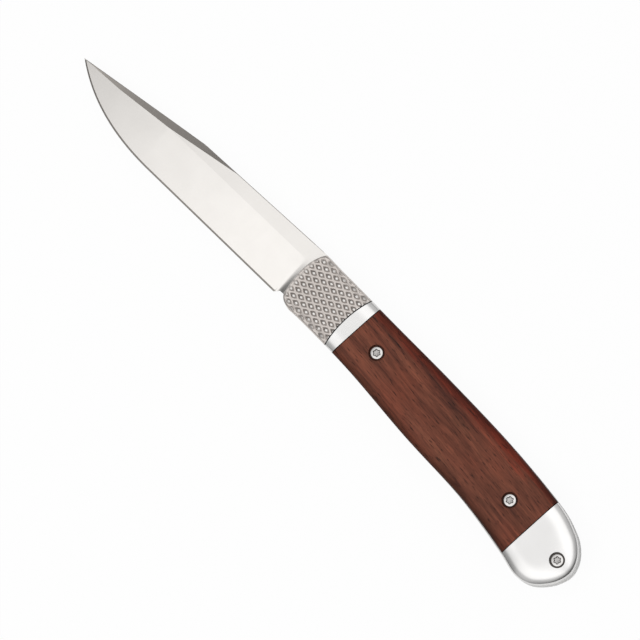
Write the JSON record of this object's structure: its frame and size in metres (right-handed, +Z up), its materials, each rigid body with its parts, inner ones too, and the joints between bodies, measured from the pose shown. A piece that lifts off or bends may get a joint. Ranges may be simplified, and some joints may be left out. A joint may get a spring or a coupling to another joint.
{
  "type": "folding pocket knife",
  "caption": "Slim side-folding knife with a clip-point blade, wood scales, metal bolsters and a swinging front bolster that releases the blade.",
  "frame": {"origin": "on the flat land of the back scale, on the handle's centreline about half way along the wood; the open knife rests on this face", "axes": "+X along the handle towards the butt, +Y towards the spine of the blade, +Z up out of the front cover"},
  "size_m": [0.2075, 0.0323, 0.014],
  "materials": {
    "blade_steel": "fine satin",
    "bolster_metal": "satin",
    "liner_steel": "satin",
    "rosewood": "oiled",
    "screw_steel": "polished",
    "spring_steel": "plain",
    "bronze": "plain"
  },
  "bodies": {
    "handle": {"front_liner": "liner_steel", "back_liner": "liner_steel", "spine_spacer": "liner_steel", "front_ring": "bolster_metal", "back_ring": "bolster_metal", "back_bolster": "bolster_metal", "front_scale": "rosewood", "back_scale": "rosewood", "front_butt_cap": "bolster_metal", "back_butt_cap": "bolster_metal", "pivot_barrel": "screw_steel", "pivot_screw": "screw_steel", "front_washer": "bronze", "back_washer": "bronze", "stop_pin": "spring_steel", "opening_spring": "spring_steel", "lock_spring": "spring_steel", "swing_pin": "spring_steel", "return_spring": "spring_steel", "return_spring_post": "spring_steel", "front_fore_scale_screw": "screw_steel", "front_aft_scale_screw": "screw_steel", "front_cap_screw": "screw_steel", "front_spacer_screw_1": "screw_steel", "front_spacer_screw_2": "screw_steel", "front_ring_dowel_1": "spring_steel", "front_ring_dowel_2": "spring_steel", "back_fore_scale_screw": "screw_steel", "back_aft_scale_screw": "screw_steel", "back_cap_screw": "screw_steel", "back_spacer_screw_1": "screw_steel", "back_spacer_screw_2": "screw_steel", "back_ring_dowel_1": "spring_steel", "back_ring_dowel_2": "spring_steel", "back_bolster_dowel_1": "spring_steel", "back_bolster_dowel_2": "spring_steel", "lock_spring_post_1": "spring_steel", "lock_spring_post_2": "spring_steel"},
    "blade": {"blade": "blade_steel"},
    "release": {"release_bolster": "bolster_metal", "release_lever": "spring_steel", "release_rivet_1": "spring_steel", "release_rivet_2": "spring_steel"}
  },
  "joints": [
    {"name": "blade_pivot", "type": "hinge", "parent": "handle", "child": "blade", "pos_m": [-0.052, 0.0042, 0.007], "axis": [0, 0, 1], "range_deg": [0, 175], "stiffness_Nm_per_rad": 0.02, "springref_deg": -57.3, "deforming": ["opening_spring"]},
    {"name": "release_swing", "type": "hinge", "parent": "handle", "child": "release", "pos_m": [-0.0046, 0.00037, 0.0104], "axis": [0, 0, 1], "range_deg": [0, 2.5], "stiffness_Nm_per_rad": 1.5, "springref_deg": -3.44, "deforming": ["lock_spring", "return_spring"]}
  ]
}
